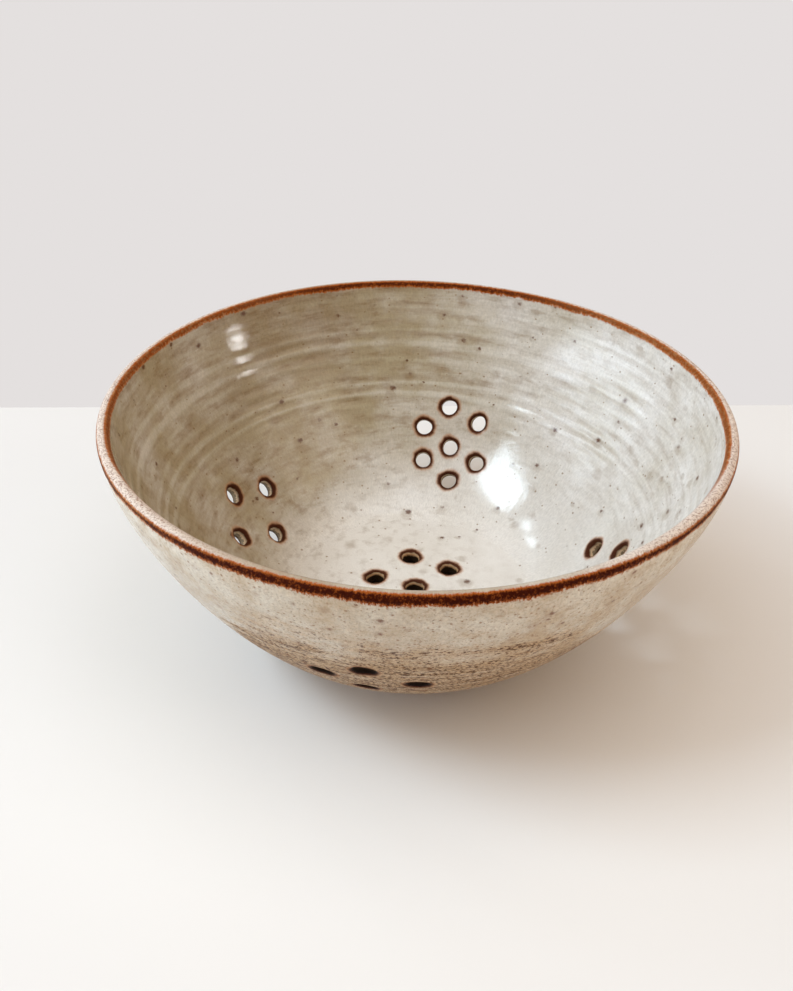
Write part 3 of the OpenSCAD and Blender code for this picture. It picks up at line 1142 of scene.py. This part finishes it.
@dataclass(frozen=True)
class OutsideGlaze(Glaze):
    """The glaze outside the bowl, thin over a belt of trimmed clay, where grit drags brown marks.

    Fades on the belt take its strength, from 0 off it to 1 on it.
    """

    name: str = "outside glaze"
    thick: str = "d9d0c0"
    thin: str = "b59a76"
    drawn: str = "855a34"
    speck: str = "6c3a14"
    trimmed: str = "c8a985"
    drag: str = "4c250d"
    roughness: float = 0.2
    coarse: Specks = Specks(3.9, 0.8, 0.5, 0.85)
    fine: Specks = Specks(1.3, 0.42, 0.7, 0.75)
    stretch: float = 1.1
    clay_grit_everywhere: float = 0.4
    belt_dryness: float = 0.9
    belt_up: Fade = (58.0, 80.0, 1.0, 0.0)
    belt_fall_behind: Fade = (-88.0, -48.0, 0.0, 30.0)
    belt_edge: Patches = Patches((30.0, 9.0), 4.0, 0.62, (0.3, 0.7), (-12.0, 12.0))
    belt_turns: Patches = Patches((50.0, 1.8), 3.0, 0.6, (0.34, 0.6), (0.45, 1.0))
    clouds: Patches = Patches(12.0, 5.0, 0.65, (0.38, 0.64), (0.0, 0.75))
    sand: Patches = Patches((0.75, 0.7), 3.0, 0.7, (0.5, 0.62), (0.0, 0.62))
    sand_on_belt: Fade = (0.0, 1.0, 0.45, 0.9)
    drags: Patches = Patches((1.3, 0.6), 3.0, 0.66)
    drags_on_belt: Fade = (0.0, 1.0, 0.65, 0.465)
    drag_edge: Fade = (0.0, 0.06, 0.0, 0.95)
    scars: Patches = Patches((11.0, 2.0), 4.0, 0.6, (0.62, 0.67), (0.0, 0.65))
    scars_on_belt: Fade = (0.05, 0.5, 0.0, 1.0)
    grain: Patches = Patches((0.9, 1.4), 3.0, 0.75, (0.3, 0.7), (0.84, 1.1))

    def belt(self, tree: Tree) -> Socket:
        """Where the trimming tool went: below a wandering line, which is higher at the front."""
        lay = along_wall(tree)
        height = add(tree, "SeparateXYZ", (lay,), out=2)
        ahead = add(tree, "SeparateXYZ", (lay,), out=1)
        fall = add(tree, "MapRange", (ahead, *self.belt_fall_behind), **SOFT)
        for shift in (fall, self.belt_edge.lay(tree)):
            height = add(tree, "Math", (height, shift), operation="ADD")
        return add(tree, "MapRange", (height, *self.belt_up), **SOFT)

    def rust(self, tree: Tree, ground: Socket) -> tuple[Socket, Socket]:
        """The rust of every glaze, and a belt that is dry as well."""
        colour, rusty = super().rust(tree, ground)
        dry = add(tree, "Math", (self.belt(tree), self.belt_dryness), operation="MULTIPLY")
        return colour, add(tree, "Math", (rusty, dry), operation="MAXIMUM")

    def ground(self, tree: Tree) -> Socket:
        """Pale sandy glaze, and a tan belt above the foot with dragged marks and scars."""
        belt = self.belt(tree)
        turned_belt = add(tree, "Math", (belt, self.belt_turns.lay(tree)), operation="MULTIPLY")
        sandy = add(tree, "MapRange", (belt, *self.sand_on_belt))
        sandy = add(tree, "Math", (sandy, self.sand.lay(tree)), operation="MULTIPLY")
        sparse = add(tree, "MapRange", (turned_belt, *self.drags_on_belt))
        dragged = add(tree, "Math", (self.drags.pattern(tree), sparse), operation="SUBTRACT")
        dragged = add(tree, "MapRange", (dragged, *self.drag_edge))
        scarred = add(tree, "MapRange", (belt, *self.scars_on_belt))
        scarred = add(tree, "Math", (scarred, self.scars.lay(tree)), operation="MULTIPLY")
        colour = painted(tree, self.thick, (self.clouds.lay(tree), self.thin), (turned_belt, self.trimmed),
                         (sandy, self.drawn), (dragged, self.drag), (scarred, self.drag))
        return add(tree, "VectorMath", {0: colour, "Scale": self.grain.lay(tree)}, operation="SCALE")


@dataclass(frozen=True)
class RimGlaze(Glaze):
    """The glaze over the lip, which carries each side's own glaze up to the rust."""

    name: str = "rim glaze"
    roughness: float = 0.16
    over_crest: Fade = (0.2, 1.6, 0.0, 1.0)
    inside: InsideGlaze = InsideGlaze()
    outside: OutsideGlaze = OutsideGlaze()

    def ground(self, tree: Tree) -> Socket:
        """The inside glaze up to the crest, and the outside glaze beyond it, with their specks."""
        lip = add(tree, "Attribute", out="Fac", attribute_name="from_lip")
        beyond = add(tree, "MapRange", (lip, *self.over_crest), **SOFT)
        within = self.inside.specks(tree, self.inside.ground(tree))
        without = self.outside.specks(tree, self.outside.ground(tree))
        return painted(tree, within, (beyond, without))

    def specks(self, tree: Tree, ground: Socket) -> Socket:
        """The specks are in the ground already."""
        return ground


@dataclass(frozen=True)
class BareStoneware:
    """Stoneware clay, turned with a trimming tool and fired bare: toasted tan, dry and finely gritty."""

    name: str = "bare stoneware"
    pale: str = "b58e68"
    toasted: str = "8c6040"
    grit: str = "4c3424"
    roughness: float = 0.75
    toast: Patches = Patches(22.0, 4.0, 0.5, (0.35, 0.65))
    grit_pitch_mm: float = 1.4
    grit_edge: Fade = (0.08, 0.16, 0.7, 0.0)
    grain: Patches = Patches(0.7, 3.0, 0.7)
    grain_strength: float = 0.6
    grain_depth_mm: float = 0.25

    def build(self) -> bpy.types.Material:
        """Makes the material."""
        material, tree = blank(self.name)
        shader = tree.nodes["Principled BSDF"]
        place = in_mm(tree)
        away = add(tree, "TexVoronoi", {"Vector": place, "Scale": 1 / self.grit_pitch_mm}, out="Distance")
        dots = add(tree, "MapRange", (away, *self.grit_edge))
        colour = painted(tree, self.pale, (self.toast.lay(tree), self.toasted), (dots, self.grit))
        rough = add(tree, "Bump", {"Height": self.grain.pattern(tree), "Strength": self.grain_strength,
                                   "Distance": self.grain_depth_mm * MM})
        shader.inputs["Roughness"].default_value = self.roughness
        tree.links.new(colour, shader.inputs["Base Color"])
        tree.links.new(rough, shader.inputs["Normal"])
        return material


@dataclass(frozen=True)
class PaleFloor:
    """A plain pale table top, honed and slightly glossy, and clear from below.

    It is paler away from the bowl's own shadow. Far off it fades into the colour of the wall, so
    that no view shows a horizon. Both fades are in metres from the bowl's axis.
    """

    far_colour: str
    name: str = "pale floor"
    colour: str = "ececec"
    open_colour: str = "f2efed"
    roughness: float = 0.4
    far_off: Fade = (0.45, 1.2, 0.0, 1.0)
    open_floor: Fade = (0.085, 0.17, 0.0, 0.5)

    def build(self) -> bpy.types.Material:
        """Makes the material."""
        material, tree = blank(self.name)
        shader = tree.nodes["Principled BSDF"]
        shader.inputs["Base Color"].default_value = hex_to_linear(self.colour)
        shader.inputs["Roughness"].default_value = self.roughness
        place = add(tree, "TexCoord", out="Object")
        reach = add(tree, "VectorMath", (place,), out="Value", operation="LENGTH")
        far = add(tree, "MapRange", (reach, *self.far_off), **SOFT)
        near = add(tree, "MapRange", (reach, *self.open_floor), **SOFT)
        pale = add(tree, "Math", (near, far), operation="MAXIMUM")
        seen = add(tree, "Math", (pale, add(tree, "LightPath", out="Is Camera Ray")), operation="MULTIPLY")
        even = add(tree, "Emission", {"Color": painted(tree, self.open_colour, (far, self.far_colour))})
        faded = add(tree, "MixShader", (seen, shader.outputs[0], even))
        below = add(tree, "NewGeometry", out="Backfacing")
        both = add(tree, "MixShader", (below, faded, add(tree, "BsdfTransparent")))
        tree.links.new(both, tree.nodes["Material Output"].inputs["Surface"])
        return material


@dataclass(frozen=True)
class PaleBackdrop:
    """A plain pale wall that looks evenly lit to the camera, and that isn't there from behind."""

    colour: str
    name: str = "pale backdrop"

    def build(self) -> bpy.types.Material:
        """Makes the material."""
        material, tree = blank(self.name)
        tree.nodes.clear()
        even = add(tree, "Emission", {"Color": self.colour})
        camera = add(tree, "LightPath", out="Is Camera Ray")
        behind = add(tree, "NewGeometry", out="Backfacing")
        seen = add(tree, "Math", (camera, behind), operation="SUBTRACT")
        both = add(tree, "MixShader", (seen, add(tree, "BsdfTransparent"), even))
        add(tree, "OutputMaterial", {"Surface": both})
        return material


# The bowl's pieces


def settle(piece: bpy.types.Object, material: bpy.types.Material, slot: str, *nodes: str) -> None:
    """Dresses a finished piece and puts it in place of its nodes.

    Args:
        piece: The finished piece.
        material: Its finish.
        slot: The record's material slot. It is not used.
        *nodes: The nodes that it stands for.
    """
    piece.data.materials.clear()
    piece.data.materials.append(material)
    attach(piece, BODY)
    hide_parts(*nodes)
    LOG.info("%s: %d vertices, %d faces", piece.name, len(piece.data.vertices), len(piece.data.polygons))


@dataclass
class ClayPiece:
    """The fired clay: wall, floor, foot ring and bores.

    The bare strip of wall starts at the share bare_from, and the glazed wall a seam after the
    strip's end. Bulge and ring are shares of the bevel and of the foot's height. A bore is wider
    than the clear hole by bore_glaze times the glaze's thickness.
    """

    form: BowlForm
    steps: int = 240
    rows: int = 44
    flat_rows: int = 10
    bare_rows: int = 4
    lip_steps: int = 8
    bare_from: float = 0.006
    seam: float = 0.004
    bulge_share: float = 0.3
    ring_share: float = 0.9
    bore_glaze: float = 1.6
    drill_steps: int = 32

    def outline(self) -> np.ndarray:
        """The clay's outline from the floor's underside, out over the foot and lip, to the floor's top."""
        wall = self.form.wall
        inner = wall.foot_radius - wall.foot_width
        bevel = wall.foot_bevel
        underside = [[r, wall.foot_height] for r in np.linspace(0, inner, self.flat_rows)]
        outer = wall.foot_radius
        bulge = bevel * self.bulge_share
        ring = [[inner, bevel], [inner + bulge, bulge], [inner + bevel, 0], [outer - bevel, 0],
                [outer - bulge, bulge], [outer, bevel], [outer, wall.foot_height * self.ring_share]]
        bare_end = wall.bare_edge / wall.speed(0.0)
        bare = wall.face(np.linspace(self.bare_from, bare_end, self.bare_rows), Side.OUTSIDE, 0.0)
        shares = np.linspace(bare_end + self.seam, 1, self.rows)
        outside = wall.face(shares, Side.OUTSIDE, wall.glaze)
        inside = wall.face(np.linspace(1, 0, self.rows), Side.INSIDE, wall.glaze)
        radii = np.linspace(wall.foot_radius, 0, self.flat_rows)[1:]
        floor = [[r, wall.floor_top - wall.glaze] for r in radii]
        lip = wall.lip(self.lip_steps, wall.glaze)[1:-1]
        return np.vstack([underside, ring, bare, outside, lip, inside, floor])

    def build(self, material: bpy.types.Material) -> bpy.types.Object:
        """Turns, drills and dresses the clay."""
        piece = turned("clay_body_piece", self.outline(), self.steps, closed=False)
        radius = self.form.holes[0].radius + self.bore_glaze * self.form.wall.glaze
        self.form.drill(piece, radius, self.drill_steps)
        self.form.finish_shape(piece)
        settle(piece, material, "stoneware", "clay_body")
        return piece


@dataclass
class GlazeSkin:
    """The glaze on one face of the wall, drilled through at every hole."""

    form: BowlForm
    side: Side
    steps: int = 360
    row_mm: float = 0.9
    hidden_rows: int = 20
    edge_tuck: float = 0.3
    refine_mm: float = 7.0
    drill_steps: int = 48

    def outline(self) -> tuple[np.ndarray, bool]:
        """The skin's outline, and whether it closes on itself."""
        wall = self.form.wall
        if self.side is Side.INSIDE:
            end = 1 - wall.band_inside / wall.speed(1.0)
            rows = int(wall.arc(np.array(end)) / self.row_mm)
            shares = wall.share_at(np.linspace(0, float(wall.arc(np.array(end))), rows))
            floor_rows = int(wall.foot_radius / self.row_mm)
            floor_end = float(wall.face(np.array([0.0]), self.side, 0)[0, 0])
            floor_radii = np.linspace(0, floor_end, floor_rows)[:-1]
            floor = np.stack([floor_radii, np.full(len(floor_radii), wall.floor_top)], -1)
            seen = np.vstack([floor, wall.face(shares, self.side, 0.0)])
            hidden = wall.face(np.linspace(end, 0, self.hidden_rows), self.side, wall.glaze)
            return np.vstack([seen, hidden, [[0, wall.floor_top - wall.glaze]]]), False
        start = wall.bare_edge / wall.speed(0.0)
        end = 1 - wall.band_outside / wall.speed(1.0)
        span = [float(wall.arc(np.array(start))), float(wall.arc(np.array(end)))]
        shares = wall.share_at(np.linspace(span[0], span[1], int((span[1] - span[0]) / self.row_mm)))
        seen = wall.face(shares, self.side, 0.0)
        seen[0] += wall.glaze * self.edge_tuck * wall.facing(np.array(start))
        hidden = wall.face(np.linspace(end, start, self.hidden_rows), self.side, wall.glaze)
        return np.vstack([seen, hidden]), True

    def build(self, material: bpy.types.Material, slot: str, node: str) -> bpy.types.Object:
        """Turns, drills and dresses the skin.

        Args:
            material: The glaze.
            slot: The record's material slot.
            node: The node that the skin stands for.

        Returns:
            The finished skin.
        """
        outline, closed = self.outline()
        piece = turned(f"{node}_piece", outline, self.steps, closed)
        refine_round_holes(piece, self.form.holes, self.refine_mm)
        self.form.drill(piece, self.form.holes[0].mouth, self.drill_steps)
        self.form.finish_shape(piece)
        settle(piece, material, slot, node)
        return piece


@dataclass
class RimBand:
    """The iron-rich band of glaze over the lip."""

    form: BowlForm
    steps: int = 720
    side_rows: int = 7
    lip_steps: int = 16
    hidden_lip_steps: int = 6

    def build(self, material: bpy.types.Material) -> bpy.types.Object:
        """Turns and dresses the band."""
        wall = self.form.wall
        low_outside = 1 - wall.band_outside / wall.speed(1.0)
        low_inside = 1 - wall.band_inside / wall.speed(1.0)
        outside = np.linspace(low_outside, 1, self.side_rows)
        inside = np.linspace(1, low_inside, self.side_rows)
        outline = np.vstack([
            wall.face(outside, Side.OUTSIDE, 0.0),
            wall.lip(self.lip_steps, 0.0)[1:-1],
            wall.face(inside, Side.INSIDE, 0.0),
            wall.face(inside[::-3], Side.INSIDE, wall.glaze),
            wall.lip(self.hidden_lip_steps, wall.glaze)[1:-1][::-1],
            wall.face(outside[::-3], Side.OUTSIDE, wall.glaze),
        ])
        piece = turned("rim_glaze_piece", outline, self.steps, closed=True)
        self.form.finish_shape(piece)
        settle(piece, material, "rim_glaze", "rim_glaze")
        return piece


@dataclass
class HoleLinings:
    """The glaze that lines one group of drain holes, with a softened edge at every mouth."""

    form: BowlForm
    group: HoleGroup
    steps: int = 48
    round_steps: int = 6
    bore_steps: int = 5
    crease: float = 60.0

    def outline(self, hole: DrainHole) -> np.ndarray:
        """The lining's outline in the hole's own frame."""
        glaze = self.form.wall.glaze
        half = hole.wall_here / 2
        quarter = np.linspace(math.pi / 2, 0, self.round_steps + 1)
        seen = np.stack([hole.mouth - hole.mouth_round * np.cos(quarter),
                         half - hole.mouth_round + hole.mouth_round * np.sin(quarter)], -1)
        tight = hole.mouth_round - glaze
        backed = np.stack([hole.mouth - tight * np.cos(quarter[::2]),
                           half - hole.mouth_round + tight * np.sin(quarter[::2])], -1)
        lower = seen[::-1] * [1, -1]
        lower_backed = backed[::-1] * [1, -1]
        bore_rows = np.linspace(seen[-1], lower[0], self.bore_steps)[1:-1]
        return np.vstack([seen, bore_rows, lower, lower_backed[::-1], backed[::-1]])

    def build(self, material: bpy.types.Material) -> bpy.types.Object:
        """Turns, places and dresses every lining of the group."""
        piece = turned_at_holes(f"{self.group.name}_piece", self.group.holes(self.form.wall),
                                self.outline, self.steps, closed=True)
        self.form.finish_shape(piece, self.crease)
        settle(piece, material, "hole_glaze", self.group.name)
        return piece


@dataclass
class BerryBowl:
    """The whole bowl."""

    form: BowlForm
    inside: InsideGlaze = InsideGlaze()
    outside: OutsideGlaze = OutsideGlaze()
    rim: RimGlaze = RimGlaze()
    clay: BareStoneware = BareStoneware()

    def build(self) -> None:
        """Builds every piece of the bowl and hides the nodes that they stand for."""
        inside, outside = self.inside.build(), self.outside.build()
        ClayPiece(self.form).build(self.clay.build())
        GlazeSkin(self.form, Side.INSIDE).build(inside, "inside_glaze", "inside_glaze")
        GlazeSkin(self.form, Side.OUTSIDE).build(outside, "outside_glaze", "outside_glaze")
        RimBand(self.form).build(self.rim.build())
        for group in self.form.groups:
            HoleLinings(self.form, group).build(inside)


# The studio


@dataclass(frozen=True)
class PhotoCamera:
    """The camera as it stood for the photograph, in millimetres and degrees."""

    image: tuple[int, int] = (793, 991)
    focal_px: float = 1100.0
    place: tuple[float, float, float] = (-5.1, -275.0, 223.6)
    pitch: float = 33.28
    roll: float = 0.94
    sensor: float = 36.0
    nearest: float = 10.0

    def build(self) -> None:
        """Adds the camera and makes it the scene's."""
        data = bpy.data.cameras.new("camera")
        data.sensor_width = self.sensor
        data.lens = self.sensor * self.focal_px / max(self.image)
        data.clip_start = self.nearest * MM
        camera = bpy.data.objects.new("camera", data)
        bpy.context.scene.collection.objects.link(camera)
        ahead = Vector((0, math.cos(math.radians(self.pitch)), -math.sin(math.radians(self.pitch))))
        right = Vector((1, 0, 0))
        up = right.cross(ahead)
        turn = math.radians(self.roll)
        rolled_right = right * math.cos(turn) + up * math.sin(turn)
        rolled_up = up * math.cos(turn) - right * math.sin(turn)
        axes = Matrix((rolled_right, rolled_up, -ahead)).transposed().to_4x4()
        camera.matrix_world = Matrix.Translation(Vector(self.place) * MM) @ axes
        bpy.context.scene.camera = camera


@dataclass(frozen=True)
class SoftBox:
    """A soft window of light, placed by its bearing from the bowl."""

    name: str
    bearing: float
    height: float
    distance: float
    size: tuple[float, float]
    power: float
    colour: str = "ffffff"

    def build(self) -> None:
        """Adds the light, turned towards the bowl."""
        data = bpy.data.lights.new(self.name, "AREA")
        data.shape = "RECTANGLE"
        data.size, data.size_y = self.size
        data.energy = self.power
        data.color = hex_to_linear(self.colour)[:3]
        light = bpy.data.objects.new(self.name, data)
        bpy.context.scene.collection.objects.link(light)
        bearing, height = math.radians(self.bearing), math.radians(self.height)
        flat = math.cos(height)
        towards = Vector((flat * math.cos(bearing), flat * math.sin(bearing), math.sin(height)))
        turn = towards.to_track_quat("Z", "Y").to_matrix().to_4x4()
        light.matrix_world = Matrix.Translation(towards * self.distance) @ turn


LIGHTS = (
    SoftBox("left window", -166, 50, 1.2, (0.50, 0.30), 8.2, "def2ff"),
    SoftBox("left far pane", 157, 45, 1.2, (0.10, 0.08), 0.5, "def2ff"),
    SoftBox("left near pane", 143, 43, 1.2, (0.11, 0.08), 0.5, "def2ff"),
    SoftBox("left wall", 178, 15, 1.2, (1.1, 0.5), 7.6, "e0f1ff"),
    SoftBox("overhead", -27, 73, 1.0, (0.70, 0.70), 2.2, "e4f2ff"),
    SoftBox("warm ceiling", 0, 90, 1.6, (2.4, 2.4), 7.0, "ffd7a8"),
    SoftBox("front wall", -98, 12, 1.5, (1.4, 0.5), 1.8, "fff8f2"),
    SoftBox("right wall", -22, 38, 1.3, (1.0, 0.6), 2.7, "fff0dc"),
    SoftBox("right window", -9, 7, 1.1, (0.035, 0.30), 1.9, "ffffff"),
)


@dataclass
class Studio:
    """The pale floor and wall, the soft light and the camera."""

    size: float = 6.0
    wall_at: float = 0.1346
    wall_turn: float = 2.33
    wall_colour: str = "e4e0df"
    fill: str = "ffd5a4"
    fill_strength: float = 0.28
    reflected: str = "f4f2f0"
    reflected_strength: float = 0.45

    def build(self) -> None:
        """Adds the floor, the wall behind, the world, the lights and the camera."""
        PhotoCamera().build()
        self.plane("floor", PaleFloor(self.wall_colour).build(), Matrix.Identity(4))
        upright = (Matrix.Translation((0, self.wall_at, 0))
                   @ Matrix.Rotation(math.radians(self.wall_turn), 4, "Z")
                   @ Matrix.Rotation(math.pi / 2, 4, "X"))
        self.plane("backdrop", PaleBackdrop(self.wall_colour).build(), upright)
        self.light_world()
        for light in LIGHTS:
            light.build()

    def plane(self, name: str, material: bpy.types.Material, place: Matrix) -> None:
        """Adds a large plane, which isn't part of the bowl."""
        deselect_all()
        bpy.ops.mesh.primitive_plane_add(size=self.size, location=(0, 0, 0))
        plane = bpy.context.object
        plane.name = name
        plane.data.materials.append(material)
        plane.matrix_world = place

    def light_world(self) -> None:
        """Gives the world a warm soft light, and a plain pale look in reflections."""
        world = bpy.data.worlds.new("studio")
        bpy.context.scene.world = world
        world.use_nodes = True
        tree = world.node_tree
        tree.nodes.clear()
        soft = add(tree, "Background", {"Color": self.fill, "Strength": self.fill_strength})
        plain = add(tree, "Background", {"Color": self.reflected, "Strength": self.reflected_strength})
        seen = add(tree, "Background", {"Color": self.wall_colour})
        both = add(tree, "MixShader", (add(tree, "LightPath", out="Is Glossy Ray"), soft, plain))
        every = add(tree, "MixShader", (add(tree, "LightPath", out="Is Camera Ray"), both, seen))
        add(tree, "OutputWorld", {"Surface": every})


def bowl_form() -> BowlForm:
    """The bowl's form, sized from the frame.

    Each group's slips start with a flower's centre hole, or with a diamond's top one.
    """
    wall = ThrownWall(rim_radius=CAD_HIGH.x / MM, height=CAD_HIGH.z / MM)
    floor_shares = ((0.08, 0), (0.08, 0.1), (0.1, -0.1), (0, 0), (0, 0), (0, 0), (0.04, 0.1))
    back_shares = ((0, -0.08), (0.2, 0.08), (0.12, 0.25), (0, 0.08), (-0.12, -0.16), (-0.12, -0.04),
                   (0, -0.04))
    left_shares = ((0.16, -0.08), (0.08, -0.12), (-0.12, -0.16), (0, 0.28))
    front_shares = ((0.04, 0.04), (0.08, 0), (-0.12, -0.03), (0.04, 0.12))
    right_shares = ((0.2, -0.08), (0.08, -0.04))
    groups = (
        HoleGroup("floor_hole_glaze", Motif.FLOWER, floor_shares, pitch=14.2, flower_turn=95.0,
                  in_floor=True),
        HoleGroup("back_hole_glaze", Motif.FLOWER, back_shares, turn=77.0, share=0.425, first_number=7),
        HoleGroup("left_hole_glaze", Motif.DIAMOND, left_shares, turn=158.0, share=0.36, first_number=14),
        HoleGroup("front_hole_glaze", Motif.DIAMOND, front_shares, turn=260.0, share=0.505, first_number=18),
        HoleGroup("right_hole_glaze", Motif.DIAMOND, right_shares, turn=350.0, share=0.38, first_number=22),
    )
    return BowlForm(wall, PottersHand(), groups)


def main() -> None:
    """Builds the studio and the bowl."""
    logging.basicConfig(level=logging.INFO, format="%(name)s: %(message)s")
    scene = bpy.context.scene
    scene.view_settings.view_transform = "Standard"
    Studio().build()
    BerryBowl(bowl_form()).build()


if __name__ == "__main__":
    main()
